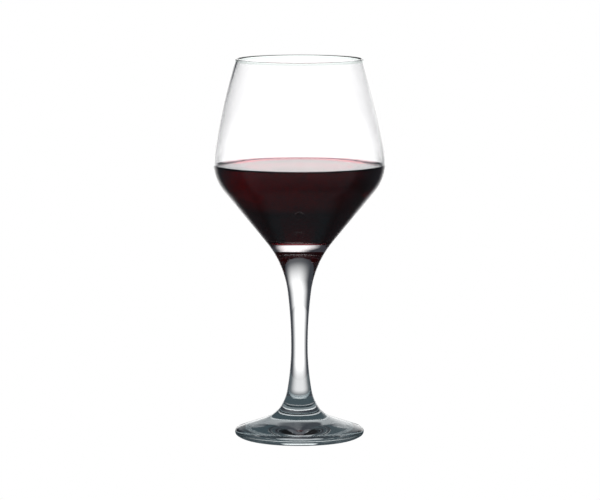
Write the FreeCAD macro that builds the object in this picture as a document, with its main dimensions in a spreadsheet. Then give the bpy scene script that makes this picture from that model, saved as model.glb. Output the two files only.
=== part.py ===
import FreeCAD, Part
import math
import os
import Sketcher

# A stemmed red-wine glass with wine in it, in millimetres.
# The glass stands on z = 0 and its axis of revolution is the Z axis. It is made the way machine-made
# stemware is: a blown bowl, a drawn stem and a pressed foot, fused together face to face.
# Every piece is one outline turned about Z, and every size in an outline comes from this sheet.
DIMENSIONS = {
    "total_height": 200.0,
    # bowl, outside
    "rim_diameter": 67.6,
    "rim_bead_radius": 0.8,
    "belly_diameter": 90.3,
    "belly_height": 146.4,
    "shoulder_radius": 25.2,
    "side_radius": 320.0,
    "cone_angle": 39.5,
    "flare_radius": 50.0,
    # bowl, inside
    "wall_thickness": 1.35,
    "inner_side_radius": 250.0,
    "inner_cone_angle": 40.7,
    "inner_corner_radius": 5.0,
    "inner_bottom_height": 104.5,
    # joint of the bowl and the stem
    "bowl_joint_height": 99.0,
    "bowl_joint_diameter": 27.9,
    # stem
    "waist_height": 48.6,
    "waist_diameter": 8.8,
    "waist_radius_above": 232.0,
    "waist_radius_below": 135.0,
    "root_radius": 24.0,
    # joint of the stem and the foot
    "foot_joint_height": 18.5,
    "foot_joint_diameter": 17.6,
    # foot
    "foot_diameter": 67.7,
    "neck_radius": 16.0,
    "foot_slope": 19.0,
    "edge_height": 3.7,
    "edge_radius": 2.15,
    "underside_radius": 11.5,
    "hollow_diameter": 48.0,
    "hollow_depth": 2.0,
    # wine
    "wine_level": 143.6,
}

# Sketcher's own numbers for the origin, the two axes and the points of a piece of geometry
HORIZONTAL_AXIS = -1
VERTICAL_AXIS = -2
ORIGIN = (-1, 1)
START, END, CENTRE = 1, 2, 3


class Outline:
    """A closed outline in a body's XZ plane. Its edges are added in order, each from where the last ended."""

    def __init__(self, body, name):
        self.sketch = body.newObject("Sketcher::SketchObject", name)
        plane = next(item for item in body.Origin.OriginFeatures if item.Role == "XZ_Plane")
        self.sketch.AttachmentSupport = [(plane, "")]
        self.sketch.MapMode = "FlatFace"
        self.edges = []

    def line(self, start, end):
        """A straight edge. Its first and last points are its start and its end."""
        geometry = Part.LineSegment(vector(start), vector(end))
        return self.add(geometry, START, END)

    def arc(self, centre, start, end, clockwise=False):
        """An arc about a centre. Arcs are stored anticlockwise, so a clockwise edge ends at its start."""
        first, last = (end, start) if clockwise else (start, end)
        circle = Part.Circle(vector(centre), FreeCAD.Vector(0, 0, 1), distance(centre, start))
        geometry = Part.ArcOfCircle(circle, bearing(centre, first), bearing(centre, last))
        return self.add(geometry, END if clockwise else START, START if clockwise else END)

    def add(self, geometry, first, last):
        index = self.sketch.addGeometry(geometry, False)
        edge = {"index": index, "first": (index, first), "last": (index, last), "centre": (index, CENTRE)}
        self.edges.append(edge)
        return edge

    def constrain(self, kind, *where):
        return self.sketch.addConstraint(Sketcher.Constraint(kind, *where))

    def close(self, smooth):
        """Join each edge to the next, and the last to the first. The pairs in smooth meet tangentially."""
        for edge, following in zip(self.edges, self.edges[1:] + self.edges[:1]):
            kind = "Tangent" if (edge["index"], following["index"]) in smooth else "Coincident"
            self.constrain(kind, *edge["last"], *following["first"])

    def size(self, kind, where, value, name, formula):
        """A dimension of the given kind, held to a formula on the sheet."""
        index = self.constrain(kind, *where, value)
        self.sketch.renameConstraint(index, name)
        self.sketch.setExpression("Constraints." + name, formula)

    def place(self, point, value, name, formula_across=None, formula_up=None):
        """The distance of a point from the axis, its height, or both."""
        if formula_across:
            self.size("DistanceX", (*ORIGIN, *point), value[0], name + "_across", formula_across)
        if formula_up:
            self.size("DistanceY", (*ORIGIN, *point), value[1], name + "_up", formula_up)

    def radius(self, edge, value, name, formula):
        self.size("Radius", (edge["index"],), value, name, formula)

    def angle(self, edge, degrees, name, formula):
        """The angle of a straight edge from the horizontal."""
        self.size("Angle", (edge["index"],), math.radians(degrees), name, formula)


def vector(point):
    return FreeCAD.Vector(point[0], point[1], 0)


def distance(a, b):
    return math.hypot(b[0] - a[0], b[1] - a[1])


def bearing(centre, point):
    return math.atan2(point[1] - centre[1], point[0] - centre[0])


def towards(a, b, length):
    """The point at a length from a, in the direction of b."""
    share = length / distance(a, b)
    return (a[0] + (b[0] - a[0]) * share, a[1] + (b[1] - a[1]) * share)


def off(point, angle, length):
    """The point at a length from another, at an angle in degrees from the horizontal."""
    turn = math.radians(angle)
    return (point[0] + length * math.cos(turn), point[1] + length * math.sin(turn))


def meet(centre_a, radius_a, centre_b, radius_b, left):
    """Where two circles meet, on the left or right of the way from a to b."""
    gap = distance(centre_a, centre_b)
    along = (radius_a**2 - radius_b**2 + gap**2) / (2 * gap)
    aside = math.sqrt(radius_a**2 - along**2)
    foot = towards(centre_a, centre_b, along)
    turn = bearing(centre_a, centre_b) + math.radians(90 if left else -90)
    return (foot[0] + aside * math.cos(turn), foot[1] + aside * math.sin(turn))


def beside_line(point, angle, radius, through, forward):
    """The centre of a circle through a point that touches a line, and where it touches.

    The line runs through the first point at an angle in degrees, and the circle is on its right.
    """
    normal = angle - 90
    base = off(point, normal, radius)
    along = (through[0] - base[0]) * math.cos(math.radians(angle))
    along += (through[1] - base[1]) * math.sin(math.radians(angle))
    nearest = off(base, angle, along)
    aside = math.sqrt(radius**2 - distance(nearest, through) ** 2)
    centre = off(nearest, angle, aside if forward else -aside)
    return centre, off(centre, normal + 180, radius)


def revolve(body, outline):
    """Turn a body's outline a full turn about the Z axis."""
    turned = body.newObject("PartDesign::Revolution", body.Name + "_turned")
    turned.Profile = outline.sketch
    turned.ReferenceAxis = (outline.sketch, ["V_Axis"])
    turned.Angle = 360
    outline.sketch.Visibility = False
    return body


def new_body(document, name):
    body = document.addObject("PartDesign::Body", name)
    body.Label = name
    body.Placement = FreeCAD.Placement()
    return body


def make_sheet(document):
    sheet = document.addObject("Spreadsheet::Sheet", "dims")
    for row, (alias, value) in enumerate(DIMENSIONS.items(), start=1):
        sheet.set("A%d" % row, alias)
        sheet.set("B%d" % row, str(value))
        sheet.setAlias("B%d" % row, alias)
    document.recompute()
    return sheet


def shoulder_centre(sheet):
    return (sheet.belly_diameter / 2 - sheet.shoulder_radius, sheet.belly_height)


def inner_shoulder_end(sheet):
    """The point where the inner shoulder turns into the inner cone."""
    inner_radius = sheet.shoulder_radius - sheet.wall_thickness
    return off(shoulder_centre(sheet), -sheet.inner_cone_angle, inner_radius)


def add_inner_bottom(outline, sheet, upwards):
    """The cone, corner and flat bottom of the bowl's inside, which the wine fills.

    The three edges run down to the axis, or up from it. Returns them from the axis outwards.
    """
    bottom = sheet.inner_bottom_height
    corner_radius = sheet.inner_corner_radius
    cone = 90 - sheet.inner_cone_angle
    shoulder_start = inner_shoulder_end(sheet)
    drop = (shoulder_start[1] - bottom) / math.sin(math.radians(cone))
    corner = off(shoulder_start, cone + 180, drop)
    setback = corner_radius * math.tan(math.radians(cone / 2))
    flat_end = (corner[0] - setback, bottom)
    cone_start = off(corner, cone, setback)
    corner_centre = (flat_end[0], bottom + corner_radius)
    if upwards:
        flat = outline.line((0, bottom), flat_end)
        fillet = outline.arc(corner_centre, flat_end, cone_start)
        side = outline.line(cone_start, shoulder_start)
    else:
        side = outline.line(shoulder_start, cone_start)
        fillet = outline.arc(corner_centre, cone_start, flat_end, clockwise=True)
        flat = outline.line(flat_end, (0, bottom))
    return flat, fillet, side


def hold_inner_bottom(outline, sheet, flat, fillet, side, shoulder, upwards):
    """Dimensions for the edges of add_inner_bottom and for the inner shoulder above them."""
    centre = shoulder_centre(sheet)
    inner_radius = sheet.shoulder_radius - sheet.wall_thickness
    on_axis = flat["first"] if upwards else flat["last"]
    outline.constrain("PointOnObject", *on_axis, VERTICAL_AXIS)
    outline.constrain("Horizontal", flat["index"])
    outline.place(on_axis, (0, sheet.inner_bottom_height), "bottom", formula_up="dims.inner_bottom_height")
    outline.radius(fillet, sheet.inner_corner_radius, "corner", "dims.inner_corner_radius")
    rise = 90 - sheet.inner_cone_angle
    if upwards:
        outline.angle(side, rise, "inner_cone", "90 - dims.inner_cone_angle")
    else:
        outline.angle(side, rise - 180, "inner_cone", "-90 - dims.inner_cone_angle")
    outline.radius(shoulder, inner_radius, "inner_shoulder", "dims.shoulder_radius - dims.wall_thickness")
    outline.place(
        shoulder["centre"],
        centre,
        "inner_shoulder_centre",
        "dims.belly_diameter / 2 - dims.shoulder_radius",
        "dims.belly_height",
    )


def make_bowl(document, sheet):
    body = new_body(document, "bowl")
    outline = Outline(body, "bowl_outline")

    joint = (sheet.bowl_joint_diameter / 2, sheet.bowl_joint_height)
    cone = 90 - sheet.cone_angle
    centre = shoulder_centre(sheet)
    cone_end = off(centre, cone - 90, sheet.shoulder_radius)
    flare_centre, cone_start = beside_line(cone_end, cone, sheet.flare_radius, joint, forward=True)
    bead = sheet.rim_bead_radius
    bead_centre = (sheet.rim_diameter / 2 - bead, sheet.total_height - bead)
    side_radius = sheet.side_radius
    side_centre = meet(centre, side_radius - sheet.shoulder_radius, bead_centre, side_radius - bead, True)
    side_start = towards(side_centre, centre, side_radius)
    side_end = towards(side_centre, bead_centre, side_radius)
    inner_side = sheet.inner_side_radius
    inner_shoulder = sheet.shoulder_radius - sheet.wall_thickness
    inner_centre = meet(centre, inner_side - inner_shoulder, bead_centre, inner_side + bead, True)
    inner_top = towards(inner_centre, bead_centre, inner_side)
    inner_low = towards(inner_centre, centre, inner_side)

    # the outside, from the axis at the joint up to the rim
    base = outline.line((0, joint[1]), joint)
    flare = outline.arc(flare_centre, joint, cone_start, clockwise=True)
    cone_side = outline.line(cone_start, cone_end)
    shoulder = outline.arc(centre, cone_end, side_start)
    side = outline.arc(side_centre, side_start, side_end)
    rim = outline.arc(bead_centre, side_end, inner_top)
    # the inside, from the rim down to the axis
    inside = outline.arc(inner_centre, inner_top, inner_low, clockwise=True)
    inner = outline.arc(centre, inner_low, inner_shoulder_end(sheet), clockwise=True)
    flat, fillet, inner_cone = add_inner_bottom(outline, sheet, upwards=False)
    outline.line((0, sheet.inner_bottom_height), (0, joint[1]))

    order = [flare, cone_side, shoulder, side, rim, inside, inner, inner_cone, fillet, flat]
    outline.close({(a["index"], b["index"]) for a, b in zip(order, order[1:])})
    outline.constrain("PointOnObject", *base["first"], VERTICAL_AXIS)
    outline.constrain("Horizontal", base["index"])
    outline.place(base["last"], joint, "joint", "dims.bowl_joint_diameter / 2", "dims.bowl_joint_height")
    outline.radius(flare, sheet.flare_radius, "flare", "dims.flare_radius")
    outline.angle(cone_side, cone, "cone", "90 - dims.cone_angle")
    outline.radius(shoulder, sheet.shoulder_radius, "shoulder", "dims.shoulder_radius")
    outline.constrain("Coincident", *shoulder["centre"], *inner["centre"])
    outline.radius(side, side_radius, "side", "dims.side_radius")
    outline.radius(rim, bead, "bead", "dims.rim_bead_radius")
    outline.place(
        rim["centre"],
        bead_centre,
        "bead_centre",
        "dims.rim_diameter / 2 - dims.rim_bead_radius",
        "dims.total_height - dims.rim_bead_radius",
    )
    outline.radius(inside, inner_side, "inside", "dims.inner_side_radius")
    hold_inner_bottom(outline, sheet, flat, fillet, inner_cone, inner, upwards=False)
    return revolve(body, outline)


def make_stem(document, sheet):
    body = new_body(document, "stem")
    outline = Outline(body, "stem_outline")

    foot_joint = (sheet.foot_joint_diameter / 2, sheet.foot_joint_height)
    bowl_joint = (sheet.bowl_joint_diameter / 2, sheet.bowl_joint_height)
    waist = (sheet.waist_diameter / 2, sheet.waist_height)
    below_radius = sheet.waist_radius_below
    above_radius = sheet.waist_radius_above
    below_centre = (waist[0] + below_radius, waist[1])
    above_centre = (waist[0] + above_radius, waist[1])
    root_radius = sheet.root_radius
    root_centre = meet(below_centre, below_radius - root_radius, foot_joint, root_radius, False)
    root_end = towards(below_centre, root_centre, below_radius)
    flare_radius = sheet.flare_radius
    flare_centre = meet(above_centre, above_radius - flare_radius, bowl_joint, flare_radius, True)
    flare_start = towards(above_centre, flare_centre, above_radius)

    base = outline.line((0, foot_joint[1]), foot_joint)
    root = outline.arc(root_centre, foot_joint, root_end, clockwise=True)
    below = outline.arc(below_centre, root_end, waist, clockwise=True)
    above = outline.arc(above_centre, waist, flare_start, clockwise=True)
    flare = outline.arc(flare_centre, flare_start, bowl_joint, clockwise=True)
    top = outline.line(bowl_joint, (0, bowl_joint[1]))
    outline.line((0, bowl_joint[1]), (0, foot_joint[1]))

    order = [root, below, above, flare]
    outline.close({(a["index"], b["index"]) for a, b in zip(order, order[1:])})
    for flat, on_axis in ((base, base["first"]), (top, top["last"])):
        outline.constrain("PointOnObject", *on_axis, VERTICAL_AXIS)
        outline.constrain("Horizontal", flat["index"])
    for name, end, point in (
        ("foot_joint", base["last"], foot_joint),
        ("bowl_joint", top["first"], bowl_joint),
    ):
        outline.place(end, point, name, "dims.%s_diameter / 2" % name, "dims.%s_height" % name)
    outline.place(above["first"], waist, "waist", "dims.waist_diameter / 2", "dims.waist_height")
    outline.place(above["centre"], above_centre, "above_centre", formula_up="dims.waist_height")
    outline.radius(root, root_radius, "root", "dims.root_radius")
    outline.radius(below, below_radius, "below", "dims.waist_radius_below")
    outline.radius(above, above_radius, "above", "dims.waist_radius_above")
    outline.radius(flare, flare_radius, "flare", "dims.flare_radius")
    return revolve(body, outline)


def make_foot(document, sheet):
    body = new_body(document, "foot")
    outline = Outline(body, "foot_outline")

    joint = (sheet.foot_joint_diameter / 2, sheet.foot_joint_height)
    hollow = (sheet.hollow_diameter / 2, 0)
    crown = (0, sheet.hollow_depth)
    hollow_radius = (hollow[0] ** 2 + crown[1] ** 2) / (2 * crown[1])
    hollow_centre = (0, crown[1] - hollow_radius)
    edge = sheet.edge_radius
    edge_centre = (sheet.foot_diameter / 2 - edge, sheet.edge_height)
    under = sheet.underside_radius
    reach = math.sqrt((under - edge) ** 2 - (under - edge_centre[1]) ** 2)
    under_centre = (edge_centre[0] - reach, under)
    ring_end = (under_centre[0], 0)
    under_end = towards(under_centre, edge_centre, under)
    slope = 180 - sheet.foot_slope
    slope_start = off(edge_centre, slope - 90, edge)
    neck_centre, slope_end = beside_line(slope_start, slope, sheet.neck_radius, joint, forward=False)

    # the underside: a shallow hollow, and the ring that the glass stands on
    dome = outline.arc(hollow_centre, crown, hollow, clockwise=True)
    ring = outline.line(hollow, ring_end)
    # the rounded edge, the sloping top and the neck
    low = outline.arc(under_centre, ring_end, under_end)
    nose = outline.arc(edge_centre, under_end, slope_start)
    top = outline.line(slope_start, slope_end)
    neck = outline.arc(neck_centre, slope_end, joint, clockwise=True)
    lid = outline.line(joint, (0, joint[1]))
    outline.line((0, joint[1]), crown)

    order = [ring, low, nose, top, neck]
    outline.close({(a["index"], b["index"]) for a, b in zip(order, order[1:])})
    outline.constrain("PointOnObject", *dome["centre"], VERTICAL_AXIS)
    outline.constrain("PointOnObject", *dome["first"], VERTICAL_AXIS)
    outline.constrain("PointOnObject", *ring["first"], HORIZONTAL_AXIS)
    outline.constrain("Horizontal", ring["index"])
    outline.constrain("PointOnObject", *lid["last"], VERTICAL_AXIS)
    outline.constrain("Horizontal", lid["index"])
    outline.place(dome["first"], crown, "crown", formula_up="dims.hollow_depth")
    outline.place(ring["first"], hollow, "hollow", formula_across="dims.hollow_diameter / 2")
    outline.place(
        nose["centre"],
        edge_centre,
        "edge_centre",
        "dims.foot_diameter / 2 - dims.edge_radius",
        "dims.edge_height",
    )
    outline.place(lid["first"], joint, "joint", "dims.foot_joint_diameter / 2", "dims.foot_joint_height")
    outline.radius(low, under, "underside", "dims.underside_radius")
    outline.radius(nose, edge, "edge", "dims.edge_radius")
    outline.radius(neck, sheet.neck_radius, "neck", "dims.neck_radius")
    outline.angle(top, slope, "slope", "180 - dims.foot_slope")
    return revolve(body, outline)


def make_wine(document, sheet):
    """The wine fills the bowl's inside from its flat bottom to a level surface on the inner shoulder."""
    body = new_body(document, "wine")
    outline = Outline(body, "wine_outline")

    centre = shoulder_centre(sheet)
    inner_shoulder = sheet.shoulder_radius - sheet.wall_thickness
    level = sheet.wine_level
    half_width = centre[0] + math.sqrt(inner_shoulder**2 - (centre[1] - level) ** 2)
    flat, fillet, inner_cone = add_inner_bottom(outline, sheet, upwards=True)
    inner = outline.arc(centre, inner_shoulder_end(sheet), (half_width, level))
    surface = outline.line((half_width, level), (0, level))
    outline.line((0, level), (0, sheet.inner_bottom_height))

    order = [flat, fillet, inner_cone, inner]
    outline.close({(a["index"], b["index"]) for a, b in zip(order, order[1:])})
    hold_inner_bottom(outline, sheet, flat, fillet, inner_cone, inner, upwards=True)
    outline.constrain("PointOnObject", *surface["last"], VERTICAL_AXIS)
    outline.constrain("Horizontal", surface["index"])
    outline.place(surface["last"], (0, level), "level", formula_up="dims.wine_level")
    return revolve(body, outline)


def check(document, pieces):
    """Stop before anything is written if an object failed, an outline is loose or a solid isn't sound."""
    for item in document.Objects:
        if "Invalid" in item.State or "Error" in item.State:
            raise RuntimeError("%s failed: %s" % (item.Name, item.State))
        if item.TypeId == "Sketcher::SketchObject" and item.solve() != 0:
            raise RuntimeError("%s doesn't solve" % item.Name)
        if item.TypeId == "Sketcher::SketchObject" and not item.FullyConstrained:
            raise RuntimeError("%s isn't fully constrained" % item.Name)
    for piece in pieces:
        if piece.Shape.isNull() or not piece.Shape.isValid() or len(piece.Shape.Solids) != 1:
            raise RuntimeError("%s has no sound solid" % piece.Label)


def main():
    document = FreeCAD.newDocument("wine_glass")
    sheet = make_sheet(document)
    pieces = [make(document, sheet) for make in (make_bowl, make_stem, make_foot, make_wine)]
    document.recompute()
    check(document, pieces)
    os.makedirs("parts", exist_ok=True)
    for piece in pieces:
        piece.Shape.exportStep("parts/%s.step" % piece.Label)
        box = piece.Shape.optimalBoundingBox(False)
        print("%-5s %8.1f mm3, z %.2f to %.2f" % (piece.Label, piece.Shape.Volume, box.ZMin, box.ZMax))


main()
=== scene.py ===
import math
import bpy
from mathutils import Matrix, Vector


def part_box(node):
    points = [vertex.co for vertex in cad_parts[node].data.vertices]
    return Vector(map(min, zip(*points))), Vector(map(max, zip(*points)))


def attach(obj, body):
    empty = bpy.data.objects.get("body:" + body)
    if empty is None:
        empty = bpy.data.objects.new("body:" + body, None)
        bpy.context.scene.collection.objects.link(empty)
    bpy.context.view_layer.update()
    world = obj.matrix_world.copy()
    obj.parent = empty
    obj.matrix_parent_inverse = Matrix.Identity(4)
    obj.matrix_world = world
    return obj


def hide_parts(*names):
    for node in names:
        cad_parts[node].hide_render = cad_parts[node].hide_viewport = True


# A stemmed wine glass with red wine in it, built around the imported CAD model, in metres.
# Each piece is one outline turned about the Z axis, as finely as clear glass needs to look clean,
# and it replaces the CAD node of the same piece.
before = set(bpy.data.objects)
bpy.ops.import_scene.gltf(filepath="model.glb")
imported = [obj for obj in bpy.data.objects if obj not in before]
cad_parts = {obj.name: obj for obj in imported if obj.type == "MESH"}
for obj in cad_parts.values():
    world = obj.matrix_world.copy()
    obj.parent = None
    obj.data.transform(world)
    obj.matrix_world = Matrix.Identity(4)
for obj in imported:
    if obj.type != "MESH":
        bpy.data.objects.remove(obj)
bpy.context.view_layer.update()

MM = 0.001
AXIS_POINT = 1e-9  # an outline point nearer the axis than this is on it

# the outlines' sizes, in metres and degrees; heights are above the table
RIM_RADIUS = 33.8 * MM
BEAD_RADIUS = 0.8 * MM
BELLY_RADIUS = 45.15 * MM
BELLY_HEIGHT = 146.4 * MM
SHOULDER_RADIUS = 25.2 * MM
SIDE_RADIUS = 320 * MM
CONE_ANGLE = 39.5
FLARE_RADIUS = 50 * MM
WALL = 1.35 * MM
INNER_SIDE_RADIUS = 250 * MM
INNER_CONE_ANGLE = 40.7
INNER_CORNER_RADIUS = 5 * MM
BOWL_JOINT_RADIUS = 13.95 * MM
WAIST_HEIGHT = 48.6 * MM
WAIST_RADIUS = 4.4 * MM
WAIST_CURVE_ABOVE = 232 * MM
WAIST_CURVE_BELOW = 135 * MM
ROOT_CURVE = 24 * MM
FOOT_JOINT_RADIUS = 8.8 * MM
NECK_CURVE = 16 * MM
FOOT_SLOPE = 19
EDGE_HEIGHT = 3.7 * MM
EDGE_RADIUS = 2.15 * MM
UNDERSIDE_CURVE = 11.5 * MM
HOLLOW_RADIUS = 24 * MM
HOLLOW_DEPTH = 2 * MM

SHOULDER = (BELLY_RADIUS - SHOULDER_RADIUS, BELLY_HEIGHT)  # the centre of the shoulder's curve

# the heights where the pieces meet, and the foot's radius, come from the frame
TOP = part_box("bowl")[1].z
BOWL_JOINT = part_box("stem")[1].z
FOOT_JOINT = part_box("foot")[1].z
INNER_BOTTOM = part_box("wine")[0].z
WINE_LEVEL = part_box("wine")[1].z
FOOT_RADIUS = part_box("foot")[1].x

# the wine reaches this far into the wall, so that no air is between them, and climbs it a little
WINE_OVERLAP = 0.06 * MM
MENISCUS_RISE = 1.2 * MM
MENISCUS_WIDTH = 2.6 * MM
MENISCUS_POWER = 2.6  # a higher number hugs the wall more
MENISCUS_STEPS = 14

SEGMENTS = 256
STEP_LENGTH = 1.2 * MM
STEP_ANGLE = math.radians(3)
CAP_TOLERANCE = 1e-7


# ---------------------------------------------------------------- plane geometry of the outlines


def gap(a, b):
    """The distance between two points."""
    return math.hypot(b[0] - a[0], b[1] - a[1])


def bearing(a, b):
    """The angle of the way from a to b, in radians."""
    return math.atan2(b[1] - a[1], b[0] - a[0])


def off(point, angle, length):
    """The point at a length from another, at an angle in degrees from the horizontal."""
    turn = math.radians(angle)
    return (point[0] + length * math.cos(turn), point[1] + length * math.sin(turn))


def towards(a, b, length):
    """The point at a length from a, on the line through b."""
    share = length / gap(a, b)
    return (a[0] + (b[0] - a[0]) * share, a[1] + (b[1] - a[1]) * share)


def meet(centre_a, radius_a, centre_b, radius_b, left):
    """Where two circles meet, on the left or right of the way from a to b."""
    between = gap(centre_a, centre_b)
    along = (radius_a**2 - radius_b**2 + between**2) / (2 * between)
    aside = math.sqrt(radius_a**2 - along**2)
    turn = math.degrees(bearing(centre_a, centre_b)) + (90 if left else -90)
    return off(towards(centre_a, centre_b, along), turn, aside)


def beside_line(point, angle, radius, through, forward):
    """The centre of a circle through a point that touches a line on its right, and where they touch."""
    base = off(point, angle - 90, radius)
    turn = math.radians(angle)
    along = (through[0] - base[0]) * math.cos(turn) + (through[1] - base[1]) * math.sin(turn)
    nearest = off(base, angle, along)
    aside = math.sqrt(radius**2 - gap(nearest, through) ** 2)
    centre = off(nearest, angle, aside if forward else -aside)
    return centre, off(centre, angle + 90, radius)


class Outline:
    """Points (distance from the axis, height), and the index of each where the surface has an edge."""

    def __init__(self, start):
        self.points = [start]
        self.sharp = []

    def line(self, end):
        start = self.points[-1]
        count = max(1, math.ceil(gap(start, end) / STEP_LENGTH))
        for i in range(1, count + 1):
            share = i / count
            self.points.append(
                (start[0] + (end[0] - start[0]) * share, start[1] + (end[1] - start[1]) * share)
            )
        return self

    def arc(self, centre, end, clockwise=False):
        start = self.points[-1]
        radius = gap(centre, start)
        first = bearing(centre, start)
        turn = (bearing(centre, end) - first) % (2 * math.pi)
        if clockwise:
            turn -= 2 * math.pi
        count = max(1, math.ceil(max(abs(turn) * radius / STEP_LENGTH, abs(turn) / STEP_ANGLE)))
        for i in range(1, count):
            angle = first + turn * i / count
            point = (centre[0] + radius * math.cos(angle), centre[1] + radius * math.sin(angle))
            self.points.append(point)
        self.points.append(end)
        return self

    def edge(self):
        self.sharp.append(len(self.points) - 1)
        return self


def inner_bottom(grow):
    """The bowl's inside below the shoulder, from the axis outwards, moved outwards by grow."""
    rise = 90 - INNER_CONE_ANGLE
    shoulder_start = off(SHOULDER, rise - 90, SHOULDER_RADIUS - WALL + grow)
    bottom = INNER_BOTTOM - grow
    radius = INNER_CORNER_RADIUS + grow
    drop = (shoulder_start[1] - bottom) / math.sin(math.radians(rise))
    corner = off(shoulder_start, rise + 180, drop)
    setback = radius * math.tan(math.radians(rise / 2))
    flat_end = (corner[0] - setback, bottom)
    return flat_end, (flat_end[0], bottom + radius), off(corner, rise, setback), shoulder_start


def bowl_outline():
    """Up the outside of the bowl, over the rim's bead, and down the inside."""
    joint = (BOWL_JOINT_RADIUS, BOWL_JOINT)
    rise = 90 - CONE_ANGLE
    cone_end = off(SHOULDER, rise - 90, SHOULDER_RADIUS)
    flare_centre, cone_start = beside_line(cone_end, rise, FLARE_RADIUS, joint, forward=True)
    bead = (RIM_RADIUS - BEAD_RADIUS, TOP - BEAD_RADIUS)
    side = meet(SHOULDER, SIDE_RADIUS - SHOULDER_RADIUS, bead, SIDE_RADIUS - BEAD_RADIUS, left=True)
    to_shoulder = INNER_SIDE_RADIUS - (SHOULDER_RADIUS - WALL)
    inside = meet(SHOULDER, to_shoulder, bead, INNER_SIDE_RADIUS + BEAD_RADIUS, left=True)
    flat_end, corner, cone_low, shoulder_start = inner_bottom(0)
    outline = Outline((0, BOWL_JOINT)).line(joint).edge()
    outline.arc(flare_centre, cone_start, clockwise=True).line(cone_end)
    outline.arc(SHOULDER, towards(side, SHOULDER, SIDE_RADIUS))
    outline.arc(side, towards(side, bead, SIDE_RADIUS))
    outline.arc(bead, towards(inside, bead, INNER_SIDE_RADIUS))
    outline.arc(inside, towards(inside, SHOULDER, INNER_SIDE_RADIUS), clockwise=True)
    outline.arc(SHOULDER, shoulder_start, clockwise=True).line(cone_low)
    outline.arc(corner, flat_end, clockwise=True)
    return outline.line((0, INNER_BOTTOM))


def stem_outline():
    """Up the stem, from the foot's joint to the bowl's."""
    foot_joint = (FOOT_JOINT_RADIUS, FOOT_JOINT)
    bowl_joint = (BOWL_JOINT_RADIUS, BOWL_JOINT)
    waist = (WAIST_RADIUS, WAIST_HEIGHT)
    below = (WAIST_RADIUS + WAIST_CURVE_BELOW, WAIST_HEIGHT)
    above = (WAIST_RADIUS + WAIST_CURVE_ABOVE, WAIST_HEIGHT)
    root = meet(below, WAIST_CURVE_BELOW - ROOT_CURVE, foot_joint, ROOT_CURVE, left=False)
    flare = meet(above, WAIST_CURVE_ABOVE - FLARE_RADIUS, bowl_joint, FLARE_RADIUS, left=True)
    outline = Outline((0, FOOT_JOINT)).line(foot_joint).edge()
    outline.arc(root, towards(below, root, WAIST_CURVE_BELOW), clockwise=True)
    outline.arc(below, waist, clockwise=True)
    outline.arc(above, towards(above, flare, WAIST_CURVE_ABOVE), clockwise=True)
    outline.arc(flare, bowl_joint, clockwise=True).edge()
    return outline.line((0, BOWL_JOINT))


def foot_outline():
    """Out over the hollow and the standing ring, round the edge, and up the top to the stem's joint."""
    joint = (FOOT_JOINT_RADIUS, FOOT_JOINT)
    dome_radius = (HOLLOW_RADIUS**2 + HOLLOW_DEPTH**2) / (2 * HOLLOW_DEPTH)
    nose = (FOOT_RADIUS - EDGE_RADIUS, EDGE_HEIGHT)
    reach = math.sqrt((UNDERSIDE_CURVE - EDGE_RADIUS) ** 2 - (UNDERSIDE_CURVE - EDGE_HEIGHT) ** 2)
    under = (nose[0] - reach, UNDERSIDE_CURVE)
    slope = 180 - FOOT_SLOPE
    slope_start = off(nose, slope - 90, EDGE_RADIUS)
    neck, slope_end = beside_line(slope_start, slope, NECK_CURVE, joint, forward=False)
    outline = Outline((0, HOLLOW_DEPTH))
    outline.arc((0, HOLLOW_DEPTH - dome_radius), (HOLLOW_RADIUS, 0), clockwise=True).edge()
    outline.line((under[0], 0)).arc(under, towards(under, nose, UNDERSIDE_CURVE))
    outline.arc(nose, slope_start).line(slope_end)
    outline.arc(neck, joint, clockwise=True).edge()
    return outline.line((0, FOOT_JOINT))


def wine_outline():
    """Up the bowl's inner wall to the edge of the meniscus, and across the wine's surface."""
    flat_end, corner, cone_low, shoulder_start = inner_bottom(WINE_OVERLAP)
    wall_radius = SHOULDER_RADIUS - WALL + WINE_OVERLAP
    lip_height = WINE_LEVEL + MENISCUS_RISE
    lip = (SHOULDER[0] + math.sqrt(wall_radius**2 - (BELLY_HEIGHT - lip_height) ** 2), lip_height)
    outline = Outline((0, INNER_BOTTOM - WINE_OVERLAP)).line(flat_end)
    outline.arc(corner, cone_low).line(shoulder_start)
    outline.arc(SHOULDER, lip).edge()
    foot = (lip[0] - MENISCUS_WIDTH, WINE_LEVEL)
    for i in range(1, MENISCUS_STEPS + 1):
        share = i / MENISCUS_STEPS
        height = WINE_LEVEL + MENISCUS_RISE * (1 - share) ** MENISCUS_POWER
        outline.points.append((lip[0] + (foot[0] - lip[0]) * share, height))
    return outline.line((0, WINE_LEVEL))


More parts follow.
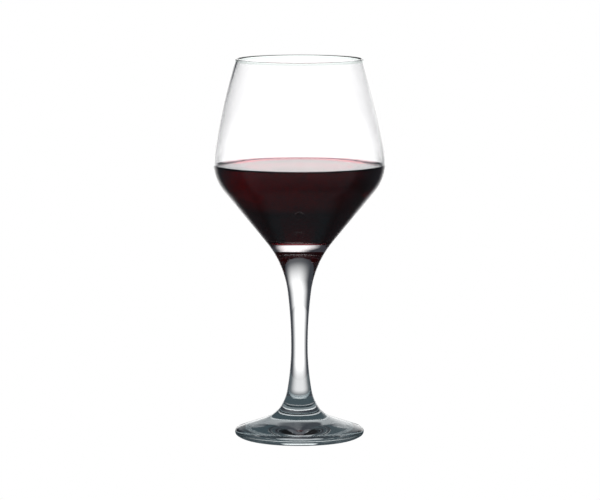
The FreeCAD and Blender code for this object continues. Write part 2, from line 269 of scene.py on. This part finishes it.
def lathe(name, outline, cap_heights=()):
    """Turn an outline about the axis. Flat faces at a cap height take the piece's second material."""
    verts, rings = [], []
    for radius, height in outline.points:
        if radius < AXIS_POINT:
            rings.append([len(verts)] * SEGMENTS)
            verts.append((0, 0, height))
        else:
            rings.append(list(range(len(verts), len(verts) + SEGMENTS)))
            for i in range(SEGMENTS):
                turn = 2 * math.pi * i / SEGMENTS
                verts.append((radius * math.cos(turn), radius * math.sin(turn), height))
    faces, caps = [], []
    for j, (low, high) in enumerate(zip(rings, rings[1:])):
        heights = outline.points[j][1], outline.points[j + 1][1]
        is_cap = any(max(abs(z - cap) for z in heights) < CAP_TOLERANCE for cap in cap_heights)
        for i in range(SEGMENTS):
            k = (i + 1) % SEGMENTS
            corners = [low[i], low[k], high[k], high[i]]
            faces.append(list(dict.fromkeys(corners)))
            caps.append(1 if is_cap else 0)
    mesh = bpy.data.meshes.new(name)
    mesh.from_pydata(verts, [], faces)
    mesh.polygons.foreach_set("use_smooth", [True] * len(faces))
    mesh.polygons.foreach_set("material_index", caps)
    sharp = set()
    for j in outline.sharp:
        for i in range(SEGMENTS):
            sharp.add(frozenset((rings[j][i], rings[j][(i + 1) % SEGMENTS])))
    for edge in mesh.edges:
        if frozenset(edge.vertices) in sharp:
            edge.use_edge_sharp = True
    mesh.update()
    piece = bpy.data.objects.new(name, mesh)
    bpy.context.scene.collection.objects.link(piece)
    return piece


# ---------------------------------------------------------------- materials


# which sockets of a Mix node are the share, the two colours and the result
MIX_SHARE, MIX_A, MIX_B, MIX_RESULT = 0, 6, 7, 2
MAP_INPUTS = ("Value", "From Min", "From Max", "To Min", "To Max")


class Graph:
    """Short calls that add nodes to a tree and wire them."""

    def __init__(self, tree):
        self.tree = tree
        tree.nodes.clear()

    def node(self, kind, settings=(), **inputs):
        made = self.tree.nodes.new(kind)
        for key, value in dict(settings).items():
            setattr(made, key, value)
        for key, value in inputs.items():
            self.put(made.inputs[key.replace("_", " ")], value)
        return made

    def put(self, socket, value):
        if isinstance(value, bpy.types.NodeSocket):
            self.tree.links.new(value, socket)
        else:
            socket.default_value = value

    def math(self, operation, *values):
        made = self.tree.nodes.new("ShaderNodeMath")
        made.operation = operation
        for socket, value in zip(made.inputs, values):
            self.put(socket, value)
        return made.outputs[0]

    def smooth(self, value, low, high, start=0.0, end=1.0):
        """A soft step: start below low, end above high."""
        made = self.node("ShaderNodeMapRange", {"interpolation_type": "SMOOTHSTEP"})
        for key, number in zip(MAP_INPUTS, (value, low, high, start, end)):
            self.put(made.inputs[key], number)
        return made.outputs[0]

    def mix(self, share, a, b):
        made = self.node("ShaderNodeMix", {"data_type": "RGBA"})
        self.put(made.inputs[MIX_SHARE], share)
        self.put(made.inputs[MIX_A], a)
        self.put(made.inputs[MIX_B], b)
        return made.outputs[MIX_RESULT]


def new_material(name):
    material = bpy.data.materials.new(name)
    material.use_nodes = True
    return material, Graph(material.node_tree)


GLASS_IOR = 1.5
WINE_IOR = 1.34

# each glass piece's tint, the roughness of its haze, and the depth of the waves in its surface
GLASS_LOOKS = {
    "bowl": ((0.992, 0.99, 0.994), 0.0, 1e-6),
    "stem": ((0.98, 0.985, 0.99), 0.01, 4e-6),
    # the foot's tint is much darker than the bowl's and stem's: partly the green of its thick pressed
    # glass, partly painted shade that dims the foot
    "foot": ((0.78, 0.86, 0.88), 0.03, 1.3e-4),
}
CLOUD_SCALE = 60.0
RIPPLE_SCALE = 90.0
HAZE_CLOUD = (0.3, 0.7)
HAZE_LEAST, HAZE_MOST = 0.4, 1.6

# the melted rim is thicker than the wall, so it shows a little of the glass's own colour
# its dark grey-green band is partly that colour and partly painted shade that draws the rim's dark line
RIM_TINT_AND_SHADE = (0.78, 0.83, 0.81, 1)
RIM_FADE = (TOP - 1.8 * MM, TOP - 1.3 * MM)

# the wine's surface is nearly clear, and its colour comes from its depth
WINE_TINTS = ((1.0, 0.93, 0.94, 1), (1.0, 0.97, 0.97, 1))
WINE_CLOUD_SCALE = 40.0
WINE_COLOUR = (0.847, 0.083, 0.2, 1)
WINE_DENSITY = 300.0


def make_glass(name, tint, haze, waves):
    """Clear glass with a faint uneven tint, a darker band at its rim, a haze that comes and goes, and
    waves in its surface.
    """
    material, g = new_material(name)
    where = g.node("ShaderNodeTexCoord").outputs["Object"]
    cloud = g.node("ShaderNodeTexNoise", Vector=where, Scale=CLOUD_SCALE, Detail=2.0).outputs["Fac"]
    colour = g.mix(cloud, (*tint, 1), (*(0.5 + 0.5 * c for c in tint), 1))
    height = g.node("ShaderNodeSeparateXYZ", Vector=where).outputs["Z"]
    # the darker band at the rim: partly the glass's own colour, partly painted shade
    colour = g.mix(g.smooth(height, *RIM_FADE), colour, RIM_TINT_AND_SHADE)
    rough = g.smooth(cloud, *HAZE_CLOUD, HAZE_LEAST * haze, HAZE_MOST * haze)
    shader = g.node("ShaderNodeBsdfPrincipled", Base_Color=colour, Roughness=rough, IOR=GLASS_IOR)
    shader.inputs["Transmission Weight"].default_value = 1.0
    ripple = g.node("ShaderNodeTexNoise", Vector=where, Scale=RIPPLE_SCALE, Detail=1.0).outputs["Fac"]
    bump = g.node("ShaderNodeBump", Strength=1.0, Distance=waves, Height=ripple)
    g.put(shader.inputs["Normal"], bump.outputs[0])
    out = g.node("ShaderNodeOutputMaterial")
    g.put(out.inputs["Surface"], shader.outputs[0])
    return material


def make_joint():
    """The face where two pieces of glass are fused: light goes straight through it."""
    material, g = new_material("fused_joint")
    shader = g.node("ShaderNodeBsdfTransparent")
    out = g.node("ShaderNodeOutputMaterial")
    g.put(out.inputs["Surface"], shader.outputs[0])
    return material


def make_wine():
    material, g = new_material("red_wine")
    where = g.node("ShaderNodeTexCoord").outputs["Object"]
    cloud = g.node("ShaderNodeTexNoise", Vector=where, Scale=WINE_CLOUD_SCALE).outputs["Fac"]
    colour = g.mix(cloud, *WINE_TINTS)
    shader = g.node("ShaderNodeBsdfPrincipled", Base_Color=colour, Roughness=0.0, IOR=WINE_IOR)
    shader.inputs["Transmission Weight"].default_value = 1.0
    depth = g.node("ShaderNodeVolumeAbsorption", Color=WINE_COLOUR, Density=WINE_DENSITY)
    out = g.node("ShaderNodeOutputMaterial")
    g.put(out.inputs["Surface"], shader.outputs[0])
    g.put(out.inputs["Volume"], depth.outputs[0])
    return material


def make_pieces():
    joint = make_joint()
    glass = {node: make_glass("clear_glass_" + node, *look) for node, look in GLASS_LOOKS.items()}
    rows = (
        ("bowl", bowl_outline(), [BOWL_JOINT], glass["bowl"], "clear_glass"),
        ("stem", stem_outline(), [BOWL_JOINT, FOOT_JOINT], glass["stem"], "clear_glass"),
        ("foot", foot_outline(), [FOOT_JOINT], glass["foot"], "clear_glass"),
        ("wine", wine_outline(), [], make_wine(), "red_wine"),
    )
    for node, outline, caps, material, slot in rows:
        piece = lathe(node + "_lathe", outline, caps)
        piece.data.materials.append(material)
        if caps:
            piece.data.materials.append(joint)
        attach(piece, "root")
        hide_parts(node)


# ---------------------------------------------------------------- studio

# Rays straight from the camera see plain white. Light that has met the glass sees a studio in its place:
# a soft glow beyond the glass, towards +Y, in a dim room, which is what draws the dark lines in clear
# glass. Three narrower glows, seen only by light that runs straight through, help the glass to read from
# its other sides. A low ring round the stem, seen only through the glass, carries the glows down to the
# table. Angles are in radians, azimuths from +Y towards +X, and lengths are in metres.
CAMERA_WHITE = (1, 1, 1, 1)
ROOM = (0.05, 0.055, 0.065, 1)

# mirrored light finds the room a little lighter on the near side, towards -Y
NEAR_ROOM = (0.125, 0.128, 0.14, 1)
NEAR_PLATEAU, NEAR_END = 1.3, 1.5

# the glows' colours: on the ring, near the foot and in mirrored light, on the outer table, and in the sky,
# with the radii between which the outer table's blends into the sky's
GLOW = (1.42, 1.42, 1.42, 1)
FAR_GLOW = (1.6, 1.6, 1.6, 1)
SKY_GLOW = (1.28, 1.28, 1.28, 1)
HORIZON_FADE = (0.9, 2.95)

# the main glow: how wide it is, how its middle leans with height, and how it fades upwards
GLOW_PLATEAU, GLOW_END = 0.12, 0.74
GLOW_CENTRE = 0.045
GLOW_LEAN = 0.8
GLOW_LEAN_LOW, GLOW_LEAN_HIGH = -0.1, 0.17
GLOW_FADE = (0.02, 0.6)
GLOW_OVERHEAD = 0.06
TABLE_ELEVATION = -0.1  # the table and the ring take the glow at this elevation

# mirrored light sees it narrower above these elevations
NARROWING = (0.07, 0.16)
NARROW_END = 0.46

# the narrower glows' azimuths and levels
EXTRA_GLOWS = ((-1.6, 1.0), (2.36, 1.0), (1.5, 0.33))
EXTRA_PLATEAU, EXTRA_END = 0.17, 0.5

# the table's painted light and shade as straight light sees it, and the radii where its zones change
FLOOR_HALF = 3.0
# painted shade under the foot, deeper painted shade around it and further out, painted light on the near
# half
UNDER_FOOT_SHADE = (0.42, 0.48, 0.5, 1)
INNER_TABLE_SHADE = (0.12, 0.14, 0.15, 1)
OUTER_TABLE_SHADE = (0.13, 0.15, 0.16, 1)
NEAR_HALF_TABLE_LIGHT = (0.8, 0.83, 0.84, 1)
UNDER_FOOT_FADE = (0.03, 0.045)
OUTER_FADE = (0.1, 0.112)
BRIGHT_FADE = (-0.03, 0.01)  # along Y: the near half is bright
GLOW_REACH, NEAR_REACH = 0.53, 0.85  # how far out the table goes, beyond the glass and before it
REACH_TURN = (-0.1, 0.1)  # along Y
REACH_FADE = 1.2

# where the glow lies on the table: weakly on a ring near the foot, and fully from DARK_TO_LIT outwards
LIT_RING, LIT_RING_LEVEL = (0.035, 0.075), 0.55
LIT_RING_END = (0.108, 0.116)
DARK_TO_LIT = (0.17, 0.42)

# the table's painted light in mirrored light, darkening from SHADE_START into painted shade but not on the
# near side
TABLE_PAINTED_LIGHT = (0.062, 0.088, 0.1, 1)
SHADE = (0.03, 0.032, 0.036, 1)
SHADE_START = 0.06

# the ring fades out between SCREEN_FADE and its top. Straight light sees the glow weaken at its foot, and
# mirrored light sees it weaken above its foot
SCREEN_RADIUS = 110 * MM
SCREEN_HEIGHT = 66 * MM
SCREEN_FADE = 52 * MM
SCREEN_SIDES = 96
SCREEN_FOOT, SCREEN_FOOT_LEVEL = (0.0, 0.02), 0.55
SCREEN_MIRRORED, SCREEN_MIRRORED_LEVELS = (0.008, 0.018), (0.8, 0.33)


def beside(g, azimuth, centre):
    """How far a direction's azimuth is from another, as an angle between 0 and pi."""
    apart = g.math("ABSOLUTE", g.math("SUBTRACT", azimuth, centre))
    return g.math("MINIMUM", apart, g.math("SUBTRACT", 2 * math.pi, apart))


def main_glow(g, azimuth, elevation, end_above=GLOW_END):
    """How much of the main glow comes from a direction. It may end nearer its middle higher up."""
    held = g.math("MAXIMUM", g.math("MINIMUM", elevation, GLOW_LEAN_HIGH), GLOW_LEAN_LOW)
    centre = g.math("ADD", g.math("MULTIPLY", held, GLOW_LEAN), GLOW_CENTRE)
    end = g.smooth(elevation, *NARROWING, GLOW_END, end_above)
    return g.smooth(beside(g, azimuth, centre), GLOW_PLATEAU, end, 1, 0)


def every_glow(g, azimuth, main):
    """The main glow or one of the others, whichever is more."""
    total = main
    for centre, level in EXTRA_GLOWS:
        extra = g.smooth(beside(g, azimuth, centre), EXTRA_PLATEAU, EXTRA_END, level, 0)
        total = g.math("MAXIMUM", total, extra)
    return total


def near_side(g, azimuth):
    """How far a direction is on the near side, towards -Y."""
    return g.smooth(beside(g, azimuth, math.pi), NEAR_PLATEAU, NEAR_END, 1, 0)


def room(g, azimuth):
    """What mirrored light sees beside the glow: a dim room, a little lighter on the near side."""
    return g.mix(near_side(g, azimuth), ROOM, NEAR_ROOM)


def by_path(g, straight, mirrored):
    """White to the camera, one colour to light that only ran through, another once it was mirrored."""
    rays = g.node("ShaderNodeLightPath").outputs
    was_mirrored = g.math("GREATER_THAN", rays["Glossy Depth"], 0.5)
    return g.mix(rays["Is Camera Ray"], g.mix(was_mirrored, straight, mirrored), CAMERA_WHITE)


def make_world():
    world = bpy.data.worlds.new("studio")
    world.use_nodes = True
    bpy.context.scene.world = world
    g = Graph(world.node_tree)
    direction = g.node("ShaderNodeTexCoord").outputs["Generated"]
    parts = g.node("ShaderNodeSeparateXYZ", Vector=direction).outputs
    azimuth = g.math("ARCTAN2", parts["X"], parts["Y"])
    elevation = g.math("ARCSINE", parts["Z"])
    up = g.smooth(elevation, *GLOW_FADE, 1, GLOW_OVERHEAD)
    main = main_glow(g, azimuth, elevation)
    straight = g.mix(g.math("MULTIPLY", every_glow(g, azimuth, main), up), ROOM, SKY_GLOW)
    narrow = main_glow(g, azimuth, elevation, NARROW_END)
    mirrored = g.mix(g.math("MULTIPLY", narrow, up), room(g, azimuth), GLOW)
    background = g.node("ShaderNodeBackground", Color=by_path(g, straight, mirrored), Strength=1.0)
    out = g.node("ShaderNodeOutputWorld")
    g.put(out.inputs["Surface"], background.outputs[0])


def stage_piece(name, verts, faces):
    """A piece of the studio, with its material's graph and the coordinates of the point being shaded."""
    mesh = bpy.data.meshes.new(name)
    mesh.from_pydata(verts, [], faces)
    piece = bpy.data.objects.new(name, mesh)
    bpy.context.scene.collection.objects.link(piece)
    material, g = new_material(name)
    mesh.materials.append(material)
    where = g.node("ShaderNodeNewGeometry").outputs["Position"]
    parts = g.node("ShaderNodeSeparateXYZ", Vector=where).outputs
    return piece, g, parts


# the floor glows and is not lit: white to the camera, and a painted pattern of light and shade to light
# that has met the glass
def make_floor():
    half = FLOOR_HALF
    corners = [(-half, -half, 0), (half, -half, 0), (half, half, 0), (-half, half, 0)]
    _, g, parts = stage_piece("floor", corners, [(0, 1, 2, 3)])
    azimuth = g.math("ARCTAN2", parts["X"], parts["Y"])
    squares = g.math("ADD", g.math("POWER", parts["X"], 2.0), g.math("POWER", parts["Y"], 2.0))
    radius = g.math("SQRT", squares)
    main = main_glow(g, azimuth, TABLE_ELEVATION)
    # painted light near the glass and on the near side, painted shade further out
    table_light_share = g.math("MAXIMUM", g.smooth(radius, SHADE_START, SCREEN_RADIUS, 1, 0), near_side(g, azimuth))
    table = g.mix(table_light_share, SHADE, TABLE_PAINTED_LIGHT)
    ring = g.smooth(radius, *LIT_RING, 0, LIT_RING_LEVEL)
    ring_end = g.smooth(radius, *LIT_RING_END, 1, 0)
    outside = g.smooth(radius, *DARK_TO_LIT)
    lit = g.math("MULTIPLY", main, g.math("MAXIMUM", g.math("MULTIPLY", ring, ring_end), outside))
    mirrored = g.mix(lit, g.mix(outside, table, room(g, azimuth)), GLOW)
    reach = g.smooth(parts["Y"], *REACH_TURN, NEAR_REACH, GLOW_REACH)
    beyond = g.smooth(radius, reach, g.math("MULTIPLY", reach, REACH_FADE))
    around = every_glow(g, azimuth, main)
    # painted shade under and around the foot, and painted light on the near half
    inner = g.mix(g.smooth(radius, *UNDER_FOOT_FADE), UNDER_FOOT_SHADE, INNER_TABLE_SHADE)
    inner = g.mix(g.smooth(radius, *OUTER_FADE), inner, OUTER_TABLE_SHADE)
    inner = g.mix(g.smooth(parts["Y"], *BRIGHT_FADE), NEAR_HALF_TABLE_LIGHT, inner)
    horizon = g.smooth(radius, *HORIZON_FADE, 0, 1)
    straight = g.mix(outside, g.mix(lit, inner, GLOW), g.mix(horizon, FAR_GLOW, SKY_GLOW))
    straight = g.mix(beyond, straight, g.mix(around, ROOM, g.mix(horizon, FAR_GLOW, SKY_GLOW)))
    shader = g.node("ShaderNodeEmission", Color=by_path(g, straight, mirrored), Strength=1.0)
    g.put(g.node("ShaderNodeOutputMaterial").inputs["Surface"], shader.outputs[0])


def make_screen():
    """The low ring around the stem."""
    verts, faces = [], []
    for i in range(SCREEN_SIDES):
        turn = 2 * math.pi * i / SCREEN_SIDES
        x, y = SCREEN_RADIUS * math.cos(turn), SCREEN_RADIUS * math.sin(turn)
        verts += [(x, y, 0), (x, y, SCREEN_HEIGHT)]
        k = (i + 1) % SCREEN_SIDES
        faces.append((2 * i, 2 * k, 2 * k + 1, 2 * i + 1))
    screen, g, parts = stage_piece("low_screen", verts, faces)
    for flag in ("camera", "diffuse", "glossy", "shadow", "volume_scatter"):
        setattr(screen, "visible_" + flag, False)
    azimuth = g.math("ARCTAN2", parts["X"], parts["Y"])
    main = main_glow(g, azimuth, TABLE_ELEVATION)
    level = g.smooth(parts["Z"], *SCREEN_FOOT, SCREEN_FOOT_LEVEL, 1)
    straight = g.mix(g.math("MULTIPLY", level, every_glow(g, azimuth, main)), ROOM, GLOW)
    level = g.smooth(parts["Z"], *SCREEN_MIRRORED, *SCREEN_MIRRORED_LEVELS)
    colour = by_path(g, straight, g.mix(g.math("MULTIPLY", level, main), ROOM, GLOW))
    lit = g.node("ShaderNodeEmission", Color=colour, Strength=1.0).outputs[0]
    clear = g.node("ShaderNodeBsdfTransparent").outputs[0]
    mixed = g.node("ShaderNodeMixShader")
    g.put(mixed.inputs[0], g.smooth(parts["Z"], SCREEN_FADE, SCREEN_HEIGHT))
    g.put(mixed.inputs[1], lit)
    g.put(mixed.inputs[2], clear)
    g.put(g.node("ShaderNodeOutputMaterial").inputs["Surface"], mixed.outputs[0])


# the camera looks slightly down at the middle of the glass from far away
CAMERA_DISTANCE = 2.25
CAMERA_ELEVATION = math.radians(6.3)
CAMERA_AIM = Vector((0.0003, 0, 0.0996))
LENS, SENSOR_WIDTH = 257.5, 36  # in millimetres, as Blender takes them
CLIP_START, CLIP_END = 0.1, 50
LIGHT_BOUNCES = 32


def make_camera():
    data = bpy.data.cameras.new("camera")
    data.lens = LENS
    data.sensor_width = SENSOR_WIDTH
    data.clip_start = CLIP_START
    data.clip_end = CLIP_END
    camera = bpy.data.objects.new("camera", data)
    bpy.context.scene.collection.objects.link(camera)
    back = Vector((0, -math.cos(CAMERA_ELEVATION), math.sin(CAMERA_ELEVATION)))
    camera.location = CAMERA_AIM + back * CAMERA_DISTANCE
    camera.rotation_mode = "QUATERNION"
    camera.rotation_quaternion = (-back).to_track_quat("-Z", "Y")
    bpy.context.scene.camera = camera


make_pieces()
make_world()
make_floor()
make_screen()
make_camera()
scene = bpy.context.scene
scene.view_settings.view_transform = "Standard"
scene.cycles.max_bounces = LIGHT_BOUNCES
scene.cycles.transmission_bounces = LIGHT_BOUNCES
scene.cycles.transparent_max_bounces = LIGHT_BOUNCES
